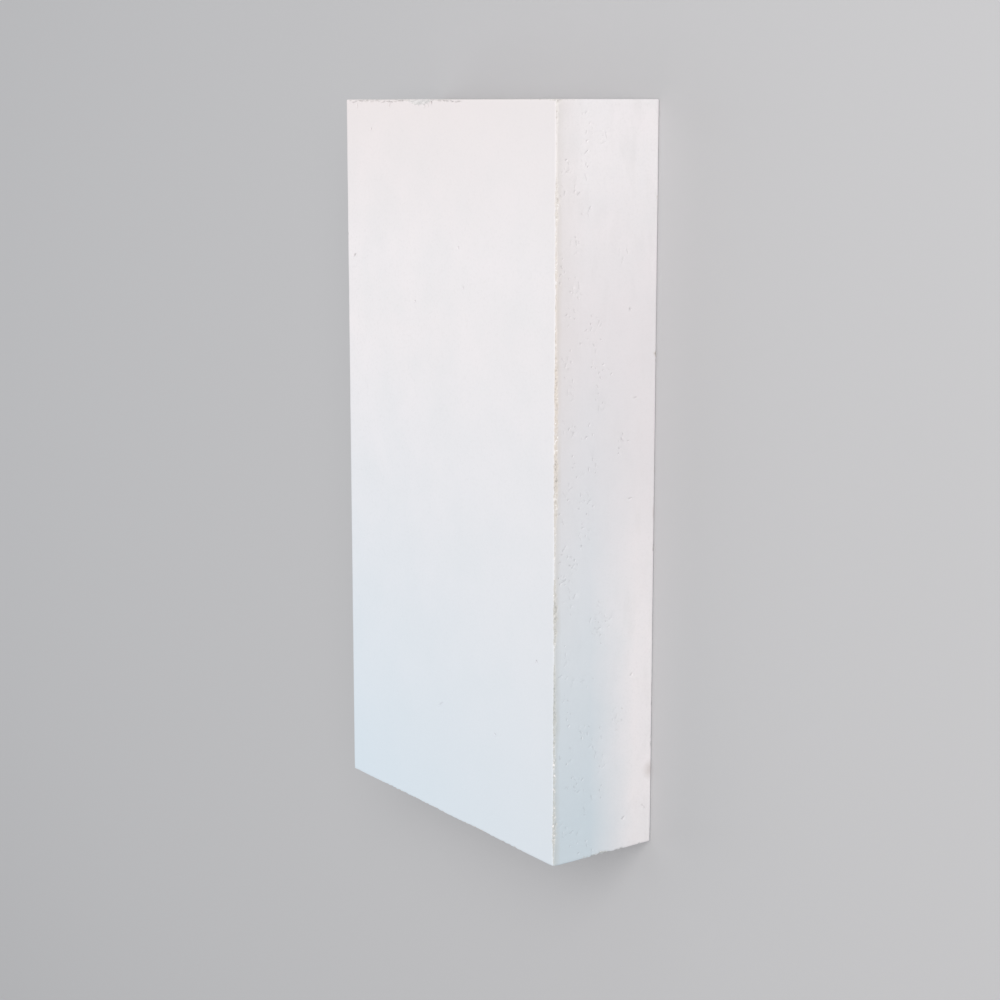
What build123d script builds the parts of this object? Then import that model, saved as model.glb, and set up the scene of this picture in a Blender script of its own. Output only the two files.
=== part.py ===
from build123d import *
import math
import os

# Ceramic fibre board: one slab of alumina-silica fibre, vacuum formed, dried and sawn to a stock size.
# It lies flat on one of its two formed faces, with its length along X, its width along Y and its
# thickness up Z. The origin is the middle of the face that it lies on. Sizes are in millimetres.

# Driving dimensions of the board
board_length = 600.0
board_width = 300.0
board_thickness = 100.0
arris_radius = 2.0      # soft fibre wears round along every sawn arris

# Driving dimensions of the chip that has crumbled out of the upper arris at the +X end
chip_length = 44.0      # along the arris
chip_depth = 5.0        # into the upper face and, the same way, into the end
chip_inset = 114.0      # from the +Y long side to the middle of the chip

# Names of the pieces, which are also the names of their files
board_name = "fibre_board"


def sawn_slab():
    """The plain slab: its cross-section drawn across the length and extruded along it, arrises worn round."""
    section = Plane.YZ * Pos(0, board_thickness / 2) * Rectangle(board_width, board_thickness)
    slab = extrude(section, board_length / 2, both=True)
    return fillet(slab.edges(), arris_radius)


def arris_chip():
    """The ball that scoops the chip: it meets the arris chip_length apart and each face chip_depth in."""
    half_length = chip_length / 2
    standoff = (half_length**2 - chip_depth**2) / (2 * chip_depth)
    scoop_radius = math.hypot(standoff, standoff, half_length)
    middle = Pos(
        board_length / 2 + standoff,
        board_width / 2 - chip_inset,
        board_thickness + standoff,
    )
    return middle * Sphere(scoop_radius)


def fibre_board():
    """The whole board: the sawn slab less the chip."""
    board = sawn_slab() - arris_chip()
    board.label = board_name
    return board


os.makedirs("parts", exist_ok=True)
export_step(fibre_board(), f"parts/{board_name}.step")
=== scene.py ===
import math
import random
from collections import namedtuple

import bmesh
import bpy
import numpy as np
from mathutils import Matrix, Vector
from mathutils.geometry import delaunay_2d_cdt


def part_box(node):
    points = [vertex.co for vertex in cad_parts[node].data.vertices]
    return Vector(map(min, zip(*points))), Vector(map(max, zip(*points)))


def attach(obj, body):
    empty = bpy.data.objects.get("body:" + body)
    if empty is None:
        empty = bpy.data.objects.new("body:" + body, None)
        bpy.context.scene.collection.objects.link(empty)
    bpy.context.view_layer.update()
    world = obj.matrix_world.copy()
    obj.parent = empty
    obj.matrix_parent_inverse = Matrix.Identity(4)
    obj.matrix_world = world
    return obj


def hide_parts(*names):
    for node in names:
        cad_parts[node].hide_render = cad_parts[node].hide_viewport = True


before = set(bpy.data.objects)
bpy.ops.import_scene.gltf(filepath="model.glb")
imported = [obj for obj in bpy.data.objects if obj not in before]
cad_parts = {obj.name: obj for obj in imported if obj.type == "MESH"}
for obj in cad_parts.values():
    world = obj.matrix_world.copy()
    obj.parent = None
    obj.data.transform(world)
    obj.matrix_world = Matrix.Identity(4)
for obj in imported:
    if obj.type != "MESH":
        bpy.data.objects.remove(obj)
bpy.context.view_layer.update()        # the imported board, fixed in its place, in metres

# Blank of the board
# One slab of alumina-silica fibre, drawn wet onto a screen by vacuum, dried stiff and sawn to size. The
# blank is that slab before wear, and its mesh is closest where soft fibre comes away: along the arrises,
# at the chip, and round the marks that the saw has torn in the four narrow sides.

mm = 0.001
low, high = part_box("fibre_board")
length, width, thickness = (high - low) / mm

# The chip out of the upper arris at the +X end
chip_length = 44.0          # along the arris
chip_depth = 5.0            # into the upper face and, the same way, into the end
chip_inset = 114.0          # from the +Y long side to the middle of the chip

# Distances between mesh points
arris_step = 0.8            # on an arris
middle_step = 9.0           # in the middle of a large face
step_growth = 0.26          # added for each millimetre away from the arris
same_place = 1e-6           # nearer than this, two points of a face are one
patch_step = 0.75           # along the near upper arris and in the chip
patch_jitter = 0.1          # how far a point there is out of line
arris_patch = 5.0           # how far that patch reaches from the arris
chip_patch = 10.0           # the same at the chip
chip_margin = 6.0           # how far it reaches past either end of the chip
patch_start = 0.6           # from the arris to the first row of a patch
patch_end = 4.0             # from the ends of the board to the ends of a long patch

# Marks torn by the saw
side_clusters = 66          # clusters of marks on a long side
end_clusters = 33           # and on an end
torn_share = 0.72           # share of the thickness, from the upper face down, that tears most
height_shape = (1.2, 2.0)   # beta draw of a cluster's height: most lie near the upper arris
length_shape = (1.0, 2.5)   # beta draw of a mark's length: most are short
arris_clearance = 4.5       # from an arris to the middle of a mark
fewest_marks = 4            # in a cluster
most_marks = 11
cluster_along = 4.5         # spread of a cluster along the side
cluster_up = 3.2            # and up it
shortest_half = 0.6         # half length of the shortest mark
longer_half = 3.2           # added to it for the longest
narrow_half, wide_half = 0.28, 0.5
rim_below = 180.0           # degrees of turn that put the lifted rim on the lower side of a mark
most_slant = 70.0           # degrees off level
shallow, deep = 0.12, 0.55  # depths of a mark of 1 mm half length, which get less as it gets longer
mark_step = 1.1             # between mesh points round a mark, more on its outer rings
fewest_points = 5           # on a ring of a mark
mark_ragged = 0.1           # how far a ring is out of true, as a share of its size
mark_floor = 0.45           # rings of a mark, in half widths from its middle line
mark_wall = 0.9
mark_rim = 1.3
mark_skirt = 2.0
mark_surround = 3.2
wall_share = 0.8            # depth of the wall ring, as a share of the depth
rim_lift = 0.3              # height of the torn fibre along one rim, as a share of the depth

Mark = namedtuple("Mark", "across up half_length half_width turn depth")    # millimetres and degrees
Patch = namedtuple("Patch", "left right bottom top")


def rows_of_points(across, up):
    """Mesh points of one rectangular face: rings along its outline, wider apart towards the middle."""
    points = []
    inset = 0.0
    while 2 * inset < min(across, up):
        step = min(middle_step, arris_step + step_growth * inset)
        ring_across = across - 2 * inset
        ring_up = up - 2 * inset
        count_across = max(1, round(ring_across / step))
        count_up = max(1, round(ring_up / step))
        for i in range(count_across):
            along = ring_across * i / count_across
            points.append((inset + along, inset))
            points.append((across - inset - along, up - inset))
        for i in range(count_up):
            along = ring_up * i / count_up
            points.append((across - inset, inset + along))
            points.append((inset, up - inset - along))
        inset += step * math.sqrt(3) / 2
    return np.array(points)


def patch_points(draw, patch):
    """Close rows of mesh points that fill a rectangle, each a little out of line."""
    points = []
    rows = max(1, round((patch.top - patch.bottom) / (patch_step * math.sqrt(3) / 2)))
    columns = max(1, round((patch.right - patch.left) / patch_step))
    for row in range(rows + 1):
        for column in range(columns):
            across = patch.left + (patch.right - patch.left) * (column + 0.5 * (row % 2)) / columns
            up = patch.bottom + (patch.top - patch.bottom) * row / rows
            points.append((across + draw.uniform(-patch_jitter, patch_jitter),
                           up + draw.uniform(-patch_jitter, patch_jitter)))
    return np.array(points)


def torn_marks(draw, across, up, clusters):
    """Marks that a saw has torn in one narrow side: clusters of short streaks, most in its upper part."""
    marks = []
    for cluster in range(clusters):
        middle = across * (cluster + draw.random()) / clusters
        height = up * (1 - torn_share * draw.betavariate(*height_shape))
        for _ in range(draw.randint(fewest_marks, most_marks)):
            half_length = shortest_half + longer_half * draw.betavariate(*length_shape)
            marks.append(Mark(
                middle + draw.gauss(0, cluster_along), height + draw.gauss(0, cluster_up),
                half_length, draw.uniform(narrow_half, wide_half),
                rim_below + draw.uniform(-most_slant, most_slant),
                draw.uniform(shallow, deep) / math.sqrt(half_length)))
    return marks


def seen_from(mark, across, up):
    """A place as a mark sees it: the distance along the mark and the distance aside from it."""
    turn = math.radians(mark.turn)
    right, rise = across - mark.across, up - mark.up
    return right * math.cos(turn) + rise * math.sin(turn), rise * math.cos(turn) - right * math.sin(turn)


def ring_sizes(mark, share):
    """Half length and half width of a ring round a mark, as many half widths out as the share says."""
    return mark.half_length + (share - 1) * mark.half_width, share * mark.half_width


def kept_apart(marks, placed, across, up):
    """The placed marks, and those of the others that lie clear of the arrises and of marks before them."""
    kept = list(placed)
    for mark in marks:
        clear = min(mark.across, across - mark.across, mark.up, up - mark.up) > arris_clearance
        own_along, own_aside = ring_sizes(mark, mark_surround)
        for other in kept:
            along, aside = seen_from(other, mark.across, mark.up)
            other_along, other_aside = ring_sizes(other, mark_surround)
            clear = clear and (
                (along / (own_along + other_along)) ** 2 + (aside / (own_aside + other_aside)) ** 2 > 1)
        if clear:
            kept.append(mark)
    return kept


def mark_points(draw, mark):
    """Mesh points of one torn mark and their depths: floor, wall, rim and the level fibre round it."""
    points, depths = [], []
    turn = math.radians(mark.turn)
    sunk_rings = {mark_floor: 1.0, mark_wall: wall_share}
    for share in (mark_floor, mark_wall, mark_rim, mark_skirt, mark_surround):
        sunk = sunk_rings.get(share, 0.0)
        ring_along, ring_aside = ring_sizes(mark, share)
        way_round = 4 * (ring_along + ring_aside)
        count = max(fewest_points, round(way_round / (mark_step * (1 + share) / 2)))
        for i in range(count):
            angle = 2 * math.pi * (i + share) / count
            ragged = draw.uniform(1 - mark_ragged, 1 + mark_ragged)
            along = ragged * ring_along * math.cos(angle)
            aside = ragged * ring_aside * math.sin(angle)
            points.append((mark.across + along * math.cos(turn) - aside * math.sin(turn),
                           mark.up + along * math.sin(turn) + aside * math.cos(turn)))
            lifted = rim_lift * max(0.0, math.sin(angle)) if share == mark_rim else 0.0
            depths.append(mark.depth * (sunk - lifted))
    return np.array(points), np.array(depths)


def off_arris(points, across, up):
    """Which points of a face lie inside its outline and clear of the rows of points on its arrises."""
    return ((points[:, 0] > arris_step / 2) & (points[:, 0] < across - arris_step / 2)
            & (points[:, 1] > arris_step / 2) & (points[:, 1] < up - arris_step / 2))


def face_of_blank(draw, across, up, marks, patches):
    """Points, depths of marks and triangles of one face, in its own plane."""
    points = rows_of_points(across, up)
    for patch in patches:
        outside = ((points[:, 0] < patch.left) | (points[:, 0] > patch.right)
                   | (points[:, 1] < patch.bottom) | (points[:, 1] > patch.top))
        points = np.concatenate((points[outside], patch_points(draw, patch)))
    for mark in marks:
        along, aside = seen_from(mark, points[:, 0], points[:, 1])
        room_along, room_aside = ring_sizes(mark, mark_surround + mark_floor)
        in_mark = (along / room_along) ** 2 + (aside / room_aside) ** 2 < 1
        points = points[~(in_mark & off_arris(points, across, up))]
    depths = np.zeros(len(points))
    for mark in marks:
        more_points, more_depths = mark_points(draw, mark)
        kept = off_arris(more_points, across, up)
        points = np.concatenate((points, more_points[kept]))
        depths = np.concatenate((depths, more_depths[kept]))
    made, _, triangles, sources, _, _ = delaunay_2d_cdt(
        [Vector(point) for point in points], [], [], 0, same_place)
    made_depths = [float(depths[source[0]]) if source else 0.0 for source in sources]
    return made, made_depths, triangles


# Flecks and one scratch on the upper face, then nicks and a pit beside the chip. The first two numbers are
# from the -X end and from the -Y side.
upper_marks = [
    Mark(575, 260, 1.2, 0.9, 20, 0.8),
    Mark(467, 289, 2.4, 0.6, 113, 1.0),
    Mark(482, 130, 0.9, 0.7, 0, 0.6),
    Mark(450, 123, 1.0, 0.8, 40, 0.7),
    Mark(434, 194, 1.1, 0.7, 120, 0.7),
    Mark(163, 23, 1.1, 0.8, 0, 0.8),
    Mark(89, 79, 1.2, 0.8, 60, 0.7),
    Mark(95, 159, 4.6, 0.45, -52, 0.35),
    Mark(594.4, 282, 1.5, 0.5, 8, 0.9),
    Mark(595.2, 231, 1.5, 0.5, -10, 0.8),
    Mark(597.2, 168, 1.3, 1.0, 60, 2.0),
    Mark(595.0, 173, 1.6, 0.4, 35, 0.6),
    Mark(594.2, 178, 1.4, 0.4, 150, 0.5),
]
# Cracks along the frayed arris, either side of the chip
cracked_stretches = ((126, 160), (210, 297))        # from the -Y side
shortest_crack, longest_crack = 2.4, 4.8            # half lengths
least_inset, most_inset = 1.3, 2.3                  # from the +X end
crack_half_width = 0.32
crack_slant = 6                                     # usual degrees off the line of the arris
shallow_crack, deep_crack = 0.5, 1.2
narrow_space, wide_space = 1.0, 2.5                 # between one crack and the next
crack_draw = random.Random(5)
for crack_start, crack_end in cracked_stretches:
    crack = crack_start
    while crack < crack_end:
        half_length = crack_draw.uniform(shortest_crack, longest_crack)
        inset = crack_draw.uniform(least_inset, most_inset)
        upper_marks.append(Mark(
            length - inset, crack + half_length, half_length, crack_half_width,
            90 + crack_draw.gauss(0, crack_slant), crack_draw.uniform(shallow_crack, deep_crack)))
        crack += 2 * half_length + crack_draw.uniform(narrow_space, wide_space)
# Single pits in the plain lower part of the near side. The first two numbers are from the -X end and from
# the floor.
near_marks = [
    Mark(439, 27, 1.0, 0.7, 30, 0.6),
    Mark(369, 21, 1.5, 0.5, 95, 0.5),
    Mark(326, 37, 1.1, 0.6, 50, 0.5),
    Mark(289, 25, 1.4, 0.5, 100, 0.5),
    Mark(145, 22, 1.6, 0.7, 130, 0.6),
    Mark(32, 8, 2.4, 0.4, 50, 0.5),
    Mark(26, 29, 1.7, 0.8, 120, 0.6),
]
chip_across = width - chip_inset
chip_half = chip_length / 2 + chip_margin
upper_patches = [
    Patch(patch_end, length - patch_end, patch_start, arris_patch),
    Patch(length - chip_patch, length - patch_start, chip_across - chip_half,
          chip_across + chip_half),
]
near_patches = [Patch(patch_end, length - patch_end, thickness - arris_patch, thickness - patch_start)]
end_patches = [
    Patch(chip_across - chip_half, chip_across + chip_half, thickness - chip_patch,
          thickness - patch_start),
]

# Each face: its first corner, the directions across and up it as seen from outside, its size across and up,
# how many clusters of torn marks it has, the marks that are placed one by one, and its closer patches
east, north, upward = Vector((1, 0, 0)), Vector((0, 1, 0)), Vector((0, 0, 1))
faces = [
    (Vector((low.x, low.y, high.z)), east, north, length, width, 0, upper_marks, upper_patches),
    (Vector((low.x, high.y, low.z)), east, -north, length, width, 0, [], []),
    (Vector((low.x, low.y, low.z)), east, upward, length, thickness, side_clusters,
     near_marks, near_patches),
    (Vector((high.x, high.y, low.z)), -east, upward, length, thickness, side_clusters, [], []),
    (Vector((high.x, low.y, low.z)), north, upward, width, thickness, end_clusters, [], end_patches),
    (Vector((low.x, high.y, low.z)), -north, upward, width, thickness, end_clusters, [], []),
]

blank_points, blank_depths, blank_sawn, blank_triangles = [], [], [], []
draw = random.Random(11)
for corner, right, rise, across, up, clusters, placed, patches in faces:
    marks = kept_apart(torn_marks(draw, across, up, clusters), placed, across, up)
    made, depths, triangles = face_of_blank(draw, across, up, marks, patches)
    first = len(blank_points)
    blank_points += [corner + (right * point.x + rise * point.y) * mm for point in made]
    blank_depths += depths
    blank_sawn += [1.0 if clusters else 0.0] * len(made)
    blank_triangles += [[first + index for index in triangle] for triangle in triangles]

blank_mesh = bpy.data.meshes.new("sawn_blank")
blank_mesh.from_pydata(blank_points, [], blank_triangles)
for name, values in (("torn", blank_depths), ("sawn", blank_sawn)):
    blank_mesh.attributes.new(name, "FLOAT", "POINT").data.foreach_set("value", values)
weld_reach = 0.01 * mm       # the faces share their arris points, give or take rounding
welded = bmesh.new()
welded.from_mesh(blank_mesh)
bmesh.ops.remove_doubles(welded, verts=welded.verts, dist=weld_reach)
welded.to_mesh(blank_mesh)
welded.free()

# Finish of the board
# Vacuum-formed ceramic fibre: a matt white felt of fine short fibres in a silica binder. The eye gets an
# even chalky white with a faint cloudiness, cream or dull fibre where the skin has crumbled off the
# arrises, and dark torn marks on the sawn sides. Some of that colour is painted light and shade: a warm
# and a cool cast along the formed faces, shade towards the near arris and on the near sawn side, shade in
# the crumb gaps and torn marks, and highlights on the burrs and the lifted rims.


def add_node(tree, kind, feeds=(), **settings):
    """Adds one node, sets its properties, and fills its inputs with values, sockets or other nodes."""
    made = tree.nodes.new(kind)
    for name, value in settings.items():
        setattr(made, name, value)
    for name, value in dict(feeds).items():
        socket = next(each for each in made.inputs if each.identifier == name)
        if isinstance(value, bpy.types.Node):
            value = next(each for each in value.outputs if each.enabled)
        if isinstance(value, bpy.types.NodeSocket):
            tree.links.new(value, socket)
        else:
            socket.default_value = value
    return made


def linear(hex_colour):
    """An sRGB colour such as #EFECEA as linear red, green, blue and alpha."""
    shares = [int(hex_colour[first:first + 2], 16) / 255 for first in (1, 3, 5)]
    light = [share / 12.92 if share <= 0.04045 else ((share + 0.055) / 1.055) ** 2.4 for share in shares]
    return light + [1.0]


fibre = bpy.data.materials.new("vacuum_formed_ceramic_fibre")
fibre.use_nodes = True
shade = fibre.node_tree
shade.nodes.clear()

cloud_size = 38 * mm
smear_size = 9 * mm
felt_size = 2.2 * mm         # real fibres are finer than a pixel, so the felt is drawn coarser
grain_size = 2.0 * mm
# Some places below lay out painted light: warm and cool casts, and grey and cold shade on the near sawn
# side
warm_start, warm_full = 170 * mm, 300 * mm      # places along the board where the formed faces turn warm
cool_start, cool_full = 110 * mm, -290 * mm     # and where they turn cool
near_start, near_full = low.y + 40 * mm, low.y + 2 * mm         # what counts as the near sawn side
grey_middle, grey_flat, grey_end = 70 * mm, 60 * mm, 180 * mm   # the painted grey shade, and its reach either way
cold_start, cold_full = 120 * mm, -270 * mm     # places along the board where the painted cold shade fades in
cold_shade_foot, cold_shade_top = 22 * mm, 68 * mm       # and heights
cold_shade_wander = 8 * mm        # how far those heights wander
rubbed_foot = high.z - 28 * mm                  # how far down the sawn sides are rubbed cream
dusty_foot = high.z - 4 * mm                    # and how far down they are dusty with crumbs
dusty_full = high.z + 3 * mm
dusty_wander = 6 * mm
cream_start, cream_full = 270 * mm, 120 * mm    # where bared fibre turns cream along the arris
dull_start, dull_full = 60 * mm, -160 * mm      # and where it turns dull
smudges = [                  # middle and reach of each, in millimetres
    ((-238, -150, 2), (9, 9, 8)),
    ((-25, -150, 0), (8, 9, 3)),
]

place = add_node(shade, "ShaderNodeTexCoord").outputs["Object"]
axis = add_node(shade, "ShaderNodeSeparateXYZ", {"Vector": place}).outputs
cloud = add_node(shade, "ShaderNodeTexNoise", {"Vector": place, "Scale": 1 / cloud_size, "Detail": 3.0})
drawn_out = add_node(shade, "ShaderNodeMapping", {"Vector": place, "Scale": (0.3, 1.0, 1.0)})
smear = add_node(shade, "ShaderNodeTexNoise", {"Vector": drawn_out, "Scale": 1 / smear_size, "Detail": 4.0})
felt = add_node(shade, "ShaderNodeTexNoise", {"Vector": place, "Scale": 1 / felt_size, "Detail": 4.0})
grain = add_node(shade, "ShaderNodeTexNoise", {"Vector": place, "Scale": 1 / grain_size, "Detail": 2.0})
sawn = add_node(shade, "ShaderNodeAttribute", attribute_name="sawn").outputs["Fac"]
torn = add_node(shade, "ShaderNodeAttribute", attribute_name="torn").outputs["Fac"]
worn_share = add_node(shade, "ShaderNodeAttribute", attribute_name="worn").outputs["Fac"]

# Skin of the felt: cloudy at the size of a hand, mottled at the size of a grain
cloudy = add_node(shade, "ShaderNodeMapRange", {"Value": cloud, "From Min": 0.3, "From Max": 0.7})
skin = add_node(shade, "ShaderNodeMix", {
    "Factor_Float": cloudy, "A_Color": linear("#F2EEEF"), "B_Color": linear("#EDEBEC")}, data_type="RGBA")
felty = add_node(shade, "ShaderNodeMapRange", {
    "Value": felt, "From Min": 0.5, "From Max": 0.8, "To Min": 0.0, "To Max": 0.25})
felt_skin = add_node(shade, "ShaderNodeMix", {
    "Factor_Float": felty, "A_Color": skin, "B_Color": linear("#DAD7D7")}, data_type="RGBA")

# Painted light on the formed faces: a warm cast towards the +X end and a cool cast towards the -X end
formed = add_node(shade, "ShaderNodeMath", {"Value": 1.0, "Value_001": sawn}, operation="SUBTRACT")
warm_cast = add_node(shade, "ShaderNodeMapRange", {
    "Value": axis["X"], "From Min": warm_start, "From Max": warm_full, "To Min": 0.0, "To Max": 0.6})
formed_warm_cast = add_node(shade, "ShaderNodeMath", {"Value": warm_cast, "Value_001": formed},
                         operation="MULTIPLY")
warm_lit_skin = add_node(shade, "ShaderNodeMix", {
    "Factor_Float": formed_warm_cast, "A_Color": felt_skin, "B_Color": linear("#EDE4E2")}, data_type="RGBA")
cool_cast = add_node(shade, "ShaderNodeMapRange", {
    "Value": axis["X"], "From Min": cool_start, "From Max": cool_full, "To Min": 0.0, "To Max": 0.8})
formed_cool_cast = add_node(shade, "ShaderNodeMath", {"Value": cool_cast, "Value_001": formed},
                        operation="MULTIPLY")
cast_lit_skin = add_node(shade, "ShaderNodeMix", {
    "Factor_Float": formed_cool_cast, "A_Color": warm_lit_skin, "B_Color": linear("#D6E6F0")}, data_type="RGBA")

# Painted shade on the formed faces: a little greyer towards the near arris
near_shade = add_node(shade, "ShaderNodeMapRange", {
    "Value": axis["Y"], "From Min": high.y, "From Max": low.y, "To Min": 0.0, "To Max": 0.35})
formed_near_shade = add_node(shade, "ShaderNodeMath", {"Value": near_shade, "Value_001": formed},
                       operation="MULTIPLY")
near_shaded_skin = add_node(shade, "ShaderNodeMix", {
    "Factor_Float": formed_near_shade, "A_Color": cast_lit_skin, "B_Color": linear("#DEDCDD")}, data_type="RGBA")

# Smears that the saw leaves on the narrow sides
smeared = add_node(shade, "ShaderNodeMapRange", {
    "Value": smear, "From Min": 0.5, "From Max": 0.75, "To Min": 0.0, "To Max": 0.2})
sawn_smear = add_node(shade, "ShaderNodeMath", {"Value": smeared, "Value_001": sawn}, operation="MULTIPLY")
sawn_skin = add_node(shade, "ShaderNodeMix", {
    "Factor_Float": sawn_smear, "A_Color": near_shaded_skin, "B_Color": linear("#D8D6D5")}, data_type="RGBA")

# Painted shade on the near sawn side: grey over its middle, and cold above its plain foot towards the -X
# end
near_side_share = add_node(shade, "ShaderNodeMapRange", {
    "Value": axis["Y"], "From Min": near_start, "From Max": near_full})
shade_on_near_sawn = add_node(shade, "ShaderNodeMath", {"Value": near_side_share, "Value_001": sawn},
                      operation="MULTIPLY")
grey_away = add_node(shade, "ShaderNodeMath", {"Value": axis["X"], "Value_001": grey_middle},
                     operation="SUBTRACT")
grey_aside = add_node(shade, "ShaderNodeMath", {"Value": grey_away}, operation="ABSOLUTE")
grey_along = add_node(shade, "ShaderNodeMapRange", {
    "Value": grey_aside, "From Min": grey_end, "From Max": grey_flat, "To Min": 0.0, "To Max": 0.55})
grey_share = add_node(shade, "ShaderNodeMath", {"Value": grey_along, "Value_001": shade_on_near_sawn},
                      operation="MULTIPLY")
grey_shaded = add_node(shade, "ShaderNodeMix", {
    "Factor_Float": grey_share, "A_Color": sawn_skin, "B_Color": linear("#E2DEE0")}, data_type="RGBA")
cold_shade_drift = add_node(shade, "ShaderNodeMath", {
    "Value": cloud, "Value_001": cold_shade_wander, "Value_002": axis["Z"]}, operation="MULTIPLY_ADD")
cold_up = add_node(shade, "ShaderNodeMapRange", {
    "Value": cold_shade_drift, "From Min": cold_shade_foot, "From Max": cold_shade_top})
cold_along = add_node(shade, "ShaderNodeMapRange", {
    "Value": axis["X"], "From Min": cold_start, "From Max": cold_full})
cold_side = add_node(shade, "ShaderNodeMath", {"Value": cold_up, "Value_001": cold_along},
                     operation="MULTIPLY")
cold_share = add_node(shade, "ShaderNodeMath", {"Value": cold_side, "Value_001": shade_on_near_sawn},
                      operation="MULTIPLY")
cold_shaded = add_node(shade, "ShaderNodeMix", {
    "Factor_Float": cold_share, "A_Color": grey_shaded, "B_Color": linear("#CFDBE2")}, data_type="RGBA")

# The sawn sides are rubbed cream under their upper arrises, less towards the -X end
rubbed_up = add_node(shade, "ShaderNodeMapRange", {
    "Value": axis["Z"], "From Min": rubbed_foot, "From Max": high.z, "To Min": 0.0, "To Max": 0.38})
rubbed_along = add_node(shade, "ShaderNodeMapRange", {
    "Value": axis["X"], "From Min": dull_full, "From Max": cream_full})
rubbed_side = add_node(shade, "ShaderNodeMath", {"Value": rubbed_up, "Value_001": rubbed_along},
                       operation="MULTIPLY")
rubbed_share = add_node(shade, "ShaderNodeMath", {"Value": rubbed_side, "Value_001": sawn},
                        operation="MULTIPLY")
rubbed = add_node(shade, "ShaderNodeMix", {
    "Factor_Float": rubbed_share, "A_Color": cold_shaded, "B_Color": linear("#DDD6D3")}, data_type="RGBA")

# Two smudges of dirt along the near lower arris
smudged = rubbed
for middle, reach in smudges:
    away = add_node(shade, "ShaderNodeVectorMath", {"Vector": place, "Vector_001": Vector(middle) * mm},
                    operation="SUBTRACT")
    spread = add_node(shade, "ShaderNodeVectorMath", {"Vector": away, "Vector_001": Vector(reach) * mm},
                      operation="DIVIDE")
    distance = add_node(shade, "ShaderNodeVectorMath", {"Vector": spread}, operation="LENGTH")
    smudge_share = add_node(shade, "ShaderNodeMapRange", {
        "Value": distance, "From Min": 1.0, "From Max": 0.2, "To Min": 0.0, "To Max": 0.5})
    smudged = add_node(shade, "ShaderNodeMix", {
        "Factor_Float": smudge_share, "A_Color": smudged, "B_Color": linear("#CBC3BF")}, data_type="RGBA")

# Crumbled arrises: the bared fibre goes from pale to cream to dull along the board, with stretches of
# painted shade in the gaps between crumbs and stretches of painted highlight on the burrs
creamy = add_node(shade, "ShaderNodeMapRange", {
    "Value": axis["X"], "From Min": cream_start, "From Max": cream_full})
cream_fibre = add_node(shade, "ShaderNodeMix", {
    "Factor_Float": creamy, "A_Color": linear("#E0DCD9"), "B_Color": linear("#DAD2C9")}, data_type="RGBA")
dulled = add_node(shade, "ShaderNodeMapRange", {
    "Value": axis["X"], "From Min": dull_start, "From Max": dull_full})
near_dulled = add_node(shade, "ShaderNodeMath", {"Value": dulled, "Value_001": near_side_share},
                       operation="MULTIPLY")
bare_fibre = add_node(shade, "ShaderNodeMix", {
    "Factor_Float": near_dulled, "A_Color": cream_fibre, "B_Color": linear("#C4C7C4")}, data_type="RGBA")
gap_shade_strength = add_node(shade, "ShaderNodeMapRange", {
    "Value": smear, "From Min": 0.42, "From Max": 0.58, "To Min": 0.15, "To Max": 0.65})
gap_shade_share = add_node(shade, "ShaderNodeMapRange", {
    "Value": grain, "From Min": 0.46, "From Max": 0.36, "To Min": 0.0, "To Max": gap_shade_strength})
gap_shade_colour = add_node(shade, "ShaderNodeMix", {
    "Factor_Float": near_dulled, "A_Color": linear("#A49D96"),
    "B_Color": linear("#9CA19F")}, data_type="RGBA")
crumb_gap_shade = add_node(shade, "ShaderNodeMix", {
    "Factor_Float": gap_shade_share, "A_Color": bare_fibre, "B_Color": gap_shade_colour}, data_type="RGBA")
burr_highlight_strength = add_node(shade, "ShaderNodeMapRange", {
    "Value": smear, "From Min": 0.58, "From Max": 0.42, "To Min": 0.3, "To Max": 1.0})
burr_highlight_share = add_node(shade, "ShaderNodeMapRange", {
    "Value": grain, "From Min": 0.57, "From Max": 0.67, "To Min": 0.0, "To Max": burr_highlight_strength})
crumbled = add_node(shade, "ShaderNodeMix", {
    "Factor_Float": burr_highlight_share, "A_Color": crumb_gap_shade, "B_Color": linear("#F8F6F5")}, data_type="RGBA")
ragged = add_node(shade, "ShaderNodeMath", {
    "Value": grain, "Value_001": 0.3, "Value_002": worn_share}, operation="MULTIPLY_ADD")
broken_share = add_node(shade, "ShaderNodeMapRange", {"Value": ragged, "From Min": 0.05, "From Max": 0.28})
dusty_drift = add_node(shade, "ShaderNodeMath", {
    "Value": smear, "Value_001": dusty_wander, "Value_002": axis["Z"]}, operation="MULTIPLY_ADD")
dusty_up = add_node(shade, "ShaderNodeMapRange", {
    "Value": dusty_drift, "From Min": dusty_foot, "From Max": dusty_full, "To Min": 0.0, "To Max": 0.75})
dusty_share = add_node(shade, "ShaderNodeMath", {"Value": dusty_up, "Value_001": sawn},
                       operation="MULTIPLY")
dusty = add_node(shade, "ShaderNodeMix", {
    "Factor_Float": dusty_share, "A_Color": smudged, "B_Color": bare_fibre}, data_type="RGBA")
edged = add_node(shade, "ShaderNodeMix", {
    "Factor_Float": broken_share, "A_Color": dusty, "B_Color": crumbled}, data_type="RGBA")

# The chip: clean grey fibre from inside the board
chip_share = add_node(shade, "ShaderNodeAttribute", attribute_name="chipped").outputs["Fac"]
chip_fibre = add_node(shade, "ShaderNodeMix", {
    "Factor_Float": felt, "A_Color": linear("#D6D4D3"), "B_Color": linear("#E6E4E3")}, data_type="RGBA")
chip_shown = add_node(shade, "ShaderNodeMix", {
    "Factor_Float": chip_share, "A_Color": edged, "B_Color": chip_fibre}, data_type="RGBA")

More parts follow.
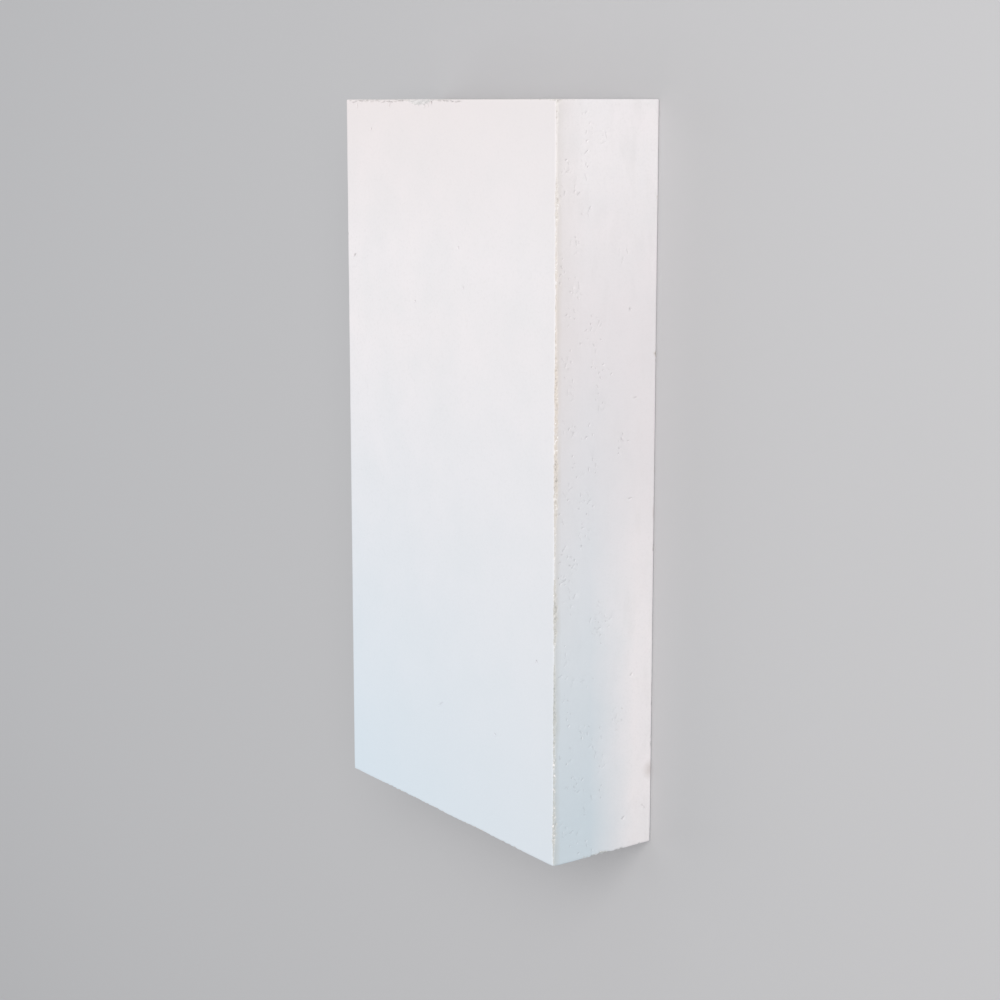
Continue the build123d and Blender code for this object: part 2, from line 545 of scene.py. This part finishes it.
# Torn marks: dark in their depth, which is painted shade in the pits and cracks and the flecks' own dark on
# the upper face; on the sawn sides a painted highlight along their lifted rim
sunk = add_node(shade, "ShaderNodeMapRange", {
    "Value": torn, "From Min": 0.0, "From Max": 1.0, "To Min": 0.0, "To Max": 0.55})
dark_marks_and_shade = add_node(shade, "ShaderNodeMix", {
    "Factor_Float": sunk, "A_Color": chip_shown, "B_Color": linear("#B0AEAD")}, data_type="RGBA")
lifted = add_node(shade, "ShaderNodeMapRange", {
    "Value": torn, "From Min": 0.0, "From Max": -0.15, "To Min": 0.0, "To Max": 0.6})
sawn_rim_highlight = add_node(shade, "ShaderNodeMath", {"Value": lifted, "Value_001": sawn}, operation="MULTIPLY")
colour = add_node(shade, "ShaderNodeMix", {
    "Factor_Float": sawn_rim_highlight, "A_Color": dark_marks_and_shade, "B_Color": linear("#FAF8F7")}, data_type="RGBA")

bump = add_node(shade, "ShaderNodeBump", {"Strength": 0.5, "Distance": 0.12 * mm, "Height": felt})
board_surface = add_node(shade, "ShaderNodeBsdfPrincipled", {
    "Base Color": colour, "Roughness": 0.95, "IOR": 1.5, "Normal": bump})
add_node(shade, "ShaderNodeOutputMaterial", {"Surface": board_surface})

# Wear of the board
# Ceramic fibre is as soft as chalk, so handling rounds its arrises, breaks crumbs out of them and has
# taken a chip out of the upper arris at the +X end. The nodes wear the blank by that rule, from the
# distance of each point to the nearest arris, and leave a note on it for the finish.

worn = bpy.data.node_groups.new("worn_board", "GeometryNodeTree")
worn.interface.new_socket("Board", in_out="OUTPUT", socket_type="NodeSocketGeometry")

# The ball that scoops the chip meets the arris chip_length apart and each face chip_depth in
chip_standoff = ((chip_length / 2) ** 2 - chip_depth ** 2) / (2 * chip_depth)
chip_radius = math.hypot(chip_standoff, chip_standoff, chip_length / 2)
chip_place = Vector((high.x, high.y - chip_inset * mm, high.z))
frayed_inset = 88.0         # from the +Y long side to the middle of the frayed stretch
wear_inputs = [
    ("Blank", "NodeSocketGeometry", None),
    ("Low Corner", "NodeSocketVector", low),
    ("High Corner", "NodeSocketVector", high),
    ("Sheltered Radius", "NodeSocketFloat", 1.2 * mm),
    ("Handled Radius", "NodeSocketFloat", 2.0 * mm),
    ("Radius Wander", "NodeSocketFloat", 2.2 * mm),
    ("Wander Length", "NodeSocketFloat", 14.0 * mm),
    ("Handled Width", "NodeSocketFloat", 14.0 * mm),
    ("End Wear", "NodeSocketFloat", 0.45),
    ("Frayed Place", "NodeSocketVector", Vector((high.x, high.y - frayed_inset * mm, high.z))),
    ("Frayed Half", "NodeSocketFloat", 50.0 * mm),
    ("Frayed Reach", "NodeSocketFloat", 85.0 * mm),
    ("Frayed Wear", "NodeSocketFloat", 0.9),
    ("Formed Reach", "NodeSocketFloat", 2.8 * mm),
    ("Sawn Reach", "NodeSocketFloat", 6.5 * mm),
    ("Arris Weight", "NodeSocketFloat", 0.55),
    ("Crumb Weight", "NodeSocketFloat", 1.2),
    ("Stretch Weight", "NodeSocketFloat", 1.2),
    ("Handling Weight", "NodeSocketFloat", 0.4),
    ("Crumble Level", "NodeSocketFloat", 1.97),
    ("Crumble Edge", "NodeSocketFloat", 0.12),
    ("Crumble Depth", "NodeSocketFloat", 0.6 * mm),
    ("Crumb Size", "NodeSocketFloat", 4.0 * mm),
    ("Grit Size", "NodeSocketFloat", 1.3 * mm),
    ("Grit Height", "NodeSocketFloat", 1.1 * mm),
    ("Stretch Length", "NodeSocketFloat", 45.0 * mm),
    ("Chip Middle", "NodeSocketVector", chip_place + Vector((chip_standoff, 0, chip_standoff)) * mm),
    ("Chip Radius", "NodeSocketFloat", chip_radius * mm),
    ("Chip Roughness", "NodeSocketFloat", 5.0 * mm),
    ("Chip Edge", "NodeSocketFloat", 1.2 * mm),
    ("Felt Height", "NodeSocketFloat", 0.5 * mm),
    ("Felt Width", "NodeSocketFloat", 45.0 * mm),
    ("Felt Level", "NodeSocketFloat", 0.75),
    ("Seed", "NodeSocketFloat", 3.0),
    ("Finish", "NodeSocketMaterial", fibre),
]
wear_sockets = [worn.interface.new_socket(name, in_out="INPUT", socket_type=kind)
                for name, kind, _ in wear_inputs]

given = add_node(worn, "NodeGroupInput").outputs
spot = add_node(worn, "GeometryNodeInputPosition")
facing = add_node(worn, "GeometryNodeInputNormal")

# Unevenness from 0 to 1 over the board, one for each size of bump that the inputs give
uneven = {}
for bump_size, detail in (("Wander Length", 2.0), ("Crumb Size", 3.0), ("Grit Size", 1.0),
                          ("Stretch Length", 1.0), ("Felt Width", 2.0)):
    scale = add_node(worn, "ShaderNodeMath", {"Value": 1.0, "Value_001": given[bump_size]},
                     operation="DIVIDE")
    uneven[bump_size] = add_node(worn, "ShaderNodeTexNoise", {
        "Vector": spot, "W": given["Seed"], "Scale": scale, "Detail": detail}, noise_dimensions="4D")

# Distance to the nearest arris: the middle one of the distances to the three nearest sides
to_low = add_node(worn, "ShaderNodeVectorMath", {"Vector": spot, "Vector_001": given["Low Corner"]},
                  operation="SUBTRACT")
to_high = add_node(worn, "ShaderNodeVectorMath", {"Vector": given["High Corner"], "Vector_001": spot},
                   operation="SUBTRACT")
to_side = add_node(worn, "ShaderNodeVectorMath", {"Vector": to_low, "Vector_001": to_high},
                   operation="MINIMUM")
side = add_node(worn, "ShaderNodeSeparateXYZ", {"Vector": to_side}).outputs
lesser = add_node(worn, "ShaderNodeMath", {"Value": side["X"], "Value_001": side["Y"]}, operation="MINIMUM")
greater = add_node(worn, "ShaderNodeMath", {"Value": side["X"], "Value_001": side["Y"]},
                   operation="MAXIMUM")
capped = add_node(worn, "ShaderNodeMath", {"Value": greater, "Value_001": side["Z"]}, operation="MINIMUM")
from_arris = add_node(worn, "ShaderNodeMath", {"Value": lesser, "Value_001": capped}, operation="MAXIMUM")

# Handling: most along the near upper arris and beside the chip, less at the -X end, least elsewhere
low_side = add_node(worn, "ShaderNodeSeparateXYZ", {"Vector": to_low}).outputs
high_side = add_node(worn, "ShaderNodeSeparateXYZ", {"Vector": to_high}).outputs
near_upper = add_node(worn, "ShaderNodeCombineXYZ", {"Y": low_side["Y"], "Z": high_side["Z"]})
near_upper_away = add_node(worn, "ShaderNodeVectorMath", {"Vector": near_upper}, operation="LENGTH")
handled_long = add_node(worn, "ShaderNodeMapRange", {
    "Value": near_upper_away, "From Min": 0.0, "From Max": given["Handled Width"],
    "To Min": 1.0, "To Max": 0.0})
handled_end = add_node(worn, "ShaderNodeMapRange", {
    "Value": low_side["X"], "From Min": 0.0, "From Max": given["Handled Width"],
    "To Min": given["End Wear"], "To Max": 0.0})
frayed_away = add_node(worn, "ShaderNodeVectorMath", {"Vector": spot, "Vector_001": given["Frayed Place"]},
                       operation="DISTANCE")
frayed = add_node(worn, "ShaderNodeMapRange", {
    "Value": frayed_away, "From Min": given["Frayed Half"], "From Max": given["Frayed Reach"],
    "To Min": given["Frayed Wear"], "To Max": 0.0})
handled_arris = add_node(worn, "ShaderNodeMath", {"Value": handled_long, "Value_001": handled_end},
                         operation="MAXIMUM")
handled = add_node(worn, "ShaderNodeMath", {"Value": handled_arris, "Value_001": frayed},
                   operation="MAXIMUM")

# Rounded arris: the radius grows with handling and then wanders along the board
swing = add_node(worn, "ShaderNodeMath", {"Value": uneven["Wander Length"], "Value_001": 0.5},
                 operation="SUBTRACT")
handled_swing = add_node(worn, "ShaderNodeMath", {"Value": swing, "Value_001": handled},
                         operation="MULTIPLY")
even_radius = add_node(worn, "ShaderNodeMapRange", {
    "Value": handled, "To Min": given["Sheltered Radius"], "To Max": given["Handled Radius"]})
radius = add_node(worn, "ShaderNodeMath", {
    "Value": handled_swing, "Value_001": given["Radius Wander"], "Value_002": even_radius},
    operation="MULTIPLY_ADD")
low_inside = add_node(worn, "ShaderNodeVectorMath", {"Vector": given["Low Corner"], "Vector_001": radius},
                      operation="ADD")
high_inside = add_node(worn, "ShaderNodeVectorMath", {"Vector": given["High Corner"], "Vector_001": radius},
                       operation="SUBTRACT")
not_over = add_node(worn, "ShaderNodeVectorMath", {"Vector": spot, "Vector_001": high_inside},
                    operation="MINIMUM")
inside = add_node(worn, "ShaderNodeVectorMath", {"Vector": not_over, "Vector_001": low_inside},
                  operation="MAXIMUM")
reach_out = add_node(worn, "ShaderNodeVectorMath", {"Vector": spot, "Vector_001": inside},
                     operation="SUBTRACT")
outward = add_node(worn, "ShaderNodeVectorMath", {"Vector": reach_out}, operation="NORMALIZE")
rounded = add_node(worn, "ShaderNodeVectorMath", {
    "Vector": outward, "Vector_001": radius, "Vector_002": inside}, operation="MULTIPLY_ADD")

# Crumbs broken out of the arris: further into a sawn side than into a formed face, more in some stretches
sawn_side = add_node(worn, "GeometryNodeInputNamedAttribute", {"Name": "sawn"}, data_type="FLOAT")
crumble_reach = add_node(worn, "ShaderNodeMapRange", {
    "Value": sawn_side, "To Min": given["Formed Reach"], "To Max": given["Sawn Reach"]})
nearness = add_node(worn, "ShaderNodeMapRange", {
    "Value": from_arris, "From Min": 0.0, "From Max": crumble_reach, "To Min": given["Arris Weight"],
    "To Max": 0.0}, interpolation_type="SMOOTHSTEP")
crumb_near = add_node(worn, "ShaderNodeMath", {
    "Value": uneven["Crumb Size"], "Value_001": given["Crumb Weight"], "Value_002": nearness},
    operation="MULTIPLY_ADD")
crumb_stretch = add_node(worn, "ShaderNodeMath", {
    "Value": uneven["Stretch Length"], "Value_001": given["Stretch Weight"], "Value_002": crumb_near},
    operation="MULTIPLY_ADD")
crumb_handled = add_node(worn, "ShaderNodeMath", {
    "Value": handled, "Value_001": given["Handling Weight"], "Value_002": crumb_stretch},
    operation="MULTIPLY_ADD")
wear_amount = add_node(worn, "ShaderNodeMath", {
    "Value": crumb_handled, "Value_001": given["Crumble Level"]}, operation="SUBTRACT")
broken = add_node(worn, "ShaderNodeMapRange", {
    "Value": wear_amount, "From Min": 0.0, "From Max": given["Crumble Edge"],
    "To Min": 0.0, "To Max": -1.0}, interpolation_type="SMOOTHSTEP")
grit_swing = add_node(worn, "ShaderNodeMath", {"Value": uneven["Grit Size"], "Value_001": 0.5},
                      operation="SUBTRACT")
grit_depth = add_node(worn, "ShaderNodeMath", {
    "Value": grit_swing, "Value_001": given["Grit Height"], "Value_002": given["Crumble Depth"]},
    operation="MULTIPLY_ADD")
inward = add_node(worn, "ShaderNodeMath", {"Value": broken, "Value_001": grit_depth}, operation="MULTIPLY")
nibbled = add_node(worn, "ShaderNodeVectorMath", {
    "Vector": outward, "Vector_001": inward, "Vector_002": rounded}, operation="MULTIPLY_ADD")

# Chip: what lies inside the ball is pushed out to its ragged surface
chip_arm = add_node(worn, "ShaderNodeVectorMath", {"Vector": nibbled, "Vector_001": given["Chip Middle"]},
                    operation="SUBTRACT")
chip_distance = add_node(worn, "ShaderNodeVectorMath", {"Vector": chip_arm}, operation="LENGTH")
crumb_swing = add_node(worn, "ShaderNodeMath", {"Value": uneven["Crumb Size"], "Value_001": 0.5},
                       operation="SUBTRACT")
chip_rough = add_node(worn, "ShaderNodeMath", {
    "Value": crumb_swing, "Value_001": given["Chip Roughness"], "Value_002": given["Chip Radius"]},
    operation="MULTIPLY_ADD")
chip_reach = add_node(worn, "ShaderNodeMath", {
    "Value": grit_swing, "Value_001": given["Grit Height"], "Value_002": chip_rough},
    operation="MULTIPLY_ADD")
chip_limit = add_node(worn, "ShaderNodeMath", {"Value": chip_distance, "Value_001": chip_reach},
                      operation="MAXIMUM")
chip_out = add_node(worn, "ShaderNodeVectorMath", {"Vector": chip_arm}, operation="NORMALIZE")
chipped = add_node(worn, "ShaderNodeVectorMath", {
    "Vector": chip_out, "Vector_001": chip_limit, "Vector_002": given["Chip Middle"]},
    operation="MULTIPLY_ADD")

# Felt: the formed and sawn faces are a little uneven, and the saw has torn marks in them
hollow = add_node(worn, "ShaderNodeMath", {
    "Value": uneven["Felt Width"], "Value_001": given["Felt Level"]}, operation="SUBTRACT")
torn_depth = add_node(worn, "GeometryNodeInputNamedAttribute", {"Name": "torn"}, data_type="FLOAT")
torn_down = add_node(worn, "ShaderNodeMath", {"Value": torn_depth, "Value_001": -mm}, operation="MULTIPLY")
lift = add_node(worn, "ShaderNodeMath", {
    "Value": hollow, "Value_001": given["Felt Height"], "Value_002": torn_down}, operation="MULTIPLY_ADD")
felted = add_node(worn, "ShaderNodeVectorMath", {
    "Vector": facing, "Vector_001": lift, "Vector_002": chipped}, operation="MULTIPLY_ADD")

# Notes for the finish: how worn each point is, and how far it lies in the chip
chip_pushed = add_node(worn, "ShaderNodeMath", {"Value": chip_limit, "Value_001": chip_distance},
                       operation="SUBTRACT")
chip_note = add_node(worn, "ShaderNodeMapRange", {
    "Value": chip_pushed, "From Min": 0.0, "From Max": given["Chip Edge"]})
noted_wear = add_node(worn, "GeometryNodeStoreNamedAttribute", {
    "Geometry": given["Blank"], "Name": "worn", "Value": wear_amount}, data_type="FLOAT", domain="POINT")
noted = add_node(worn, "GeometryNodeStoreNamedAttribute", {
    "Geometry": noted_wear, "Name": "chipped", "Value": chip_note}, data_type="FLOAT", domain="POINT")
moved = add_node(worn, "GeometryNodeSetPosition", {"Geometry": noted, "Position": felted})
smooth = add_node(worn, "GeometryNodeSetShadeSmooth", {"Geometry": moved, "Shade Smooth": True})
real = add_node(worn, "GeometryNodeRealizeInstances", {"Geometry": smooth})
finished = add_node(worn, "GeometryNodeSetMaterial", {"Geometry": real, "Material": given["Finish"]})
worn_output = add_node(worn, "NodeGroupOutput")
worn.links.new(finished.outputs["Geometry"], worn_output.inputs["Board"])

blank = bpy.data.objects.new("sawn_blank", blank_mesh)
bpy.context.scene.collection.objects.link(blank)
wear = blank.modifiers.new("wear", "NODES")
wear.node_group = worn
for socket, (_, _, value) in zip(wear_sockets, wear_inputs):
    if value is not None:
        wear[socket.identifier] = value
bpy.context.view_layer.update()
worn_mesh = bpy.data.meshes.new_from_object(blank.evaluated_get(bpy.context.evaluated_depsgraph_get()))
worn_mesh.name = "fibre_board_worn"
board = bpy.data.objects.new("fibre_board_worn", worn_mesh)
bpy.context.scene.collection.objects.link(board)
bpy.data.objects.remove(blank)
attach(board, "root")
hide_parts("fibre_board")

# Floor
# A plain pale studio floor, painted matt, that the board lies on. It isn't part of the board, and it is
# wide enough to fill the view from any side.

floor_reach = 9.0           # metres either way
floor_mesh = bpy.data.meshes.new("floor")
floor_mesh.from_pydata([(-floor_reach, -floor_reach, 0), (floor_reach, -floor_reach, 0),
                        (floor_reach, floor_reach, 0), (-floor_reach, floor_reach, 0)], [], [(0, 1, 2, 3)])
floor = bpy.data.objects.new("floor", floor_mesh)
bpy.context.scene.collection.objects.link(floor)
floor_paint = bpy.data.materials.new("matt_floor_paint")
floor_paint.use_nodes = True
floor_paint.node_tree.nodes.clear()
floor_surface = add_node(floor_paint.node_tree, "ShaderNodeBsdfPrincipled", {
    "Base Color": linear("#C2C2C3"), "Roughness": 0.9})
add_node(floor_paint.node_tree, "ShaderNodeOutputMaterial", {"Surface": floor_surface})
floor_mesh.materials.append(floor_paint)

# Light
# Plain soft studio light: an even white surround, a wide soft box in front of the near sawn side, above it
# and to the right, and a weaker one behind the board.

world = bpy.data.worlds.new("studio")
bpy.context.scene.world = world
world.use_nodes = True
world.node_tree.nodes.clear()
surround = add_node(world.node_tree, "ShaderNodeBackground", {"Color": linear("#FCFDFF"), "Strength": 0.56})
add_node(world.node_tree, "ShaderNodeOutputWorld", {"Surface": surround})


def soft_box(name, stand, aim, size, tint, power):
    """One square soft box, aimed at a point on the board."""
    lamp = bpy.data.lights.new(name, "AREA")
    lamp.shape = "SQUARE"
    lamp.size = size
    lamp.color = linear(tint)[:3]
    lamp.energy = power
    box = bpy.data.objects.new(name, lamp)
    box.location = stand
    box.visible_camera = False
    box.rotation_mode = "QUATERNION"
    box.rotation_quaternion = (Vector(aim) - Vector(stand)).to_track_quat("-Z", "Y")
    bpy.context.scene.collection.objects.link(box)


soft_box("front", stand=(1.1, -2.3, 2.3), aim=(0.15, -0.15, 0.05), size=2.2, tint="#FFFCFB", power=73.0)
soft_box("back", stand=(-0.2, 1.5, 1.7), aim=(0.0, 0.1, 0.05), size=1.6, tint="#F6FAFF", power=6.5)

# Camera
# It looks at the board as the photograph does: level with the +X end, from above the near sawn side, and
# turned so that the length of the board stands upright in the picture.

camera_place = Vector((298, -1379, 1030)) * mm
camera_aim = Vector((19, -8, 50)) * mm
camera_data = bpy.data.cameras.new("camera")
camera_data.lens = 73.6
camera_data.sensor_width = 36.0
camera_data.shift_y = -0.06
camera = bpy.data.objects.new("camera", camera_data)
bpy.context.scene.collection.objects.link(camera)
backward = (camera_place - camera_aim).normalized()
rightward = east.cross(backward).normalized()
camera_turn = Matrix((rightward, backward.cross(rightward), backward)).transposed()
camera.matrix_world = Matrix.Translation(camera_place) @ camera_turn.to_4x4()
bpy.context.scene.camera = camera
bpy.context.scene.view_settings.view_transform = "Standard"
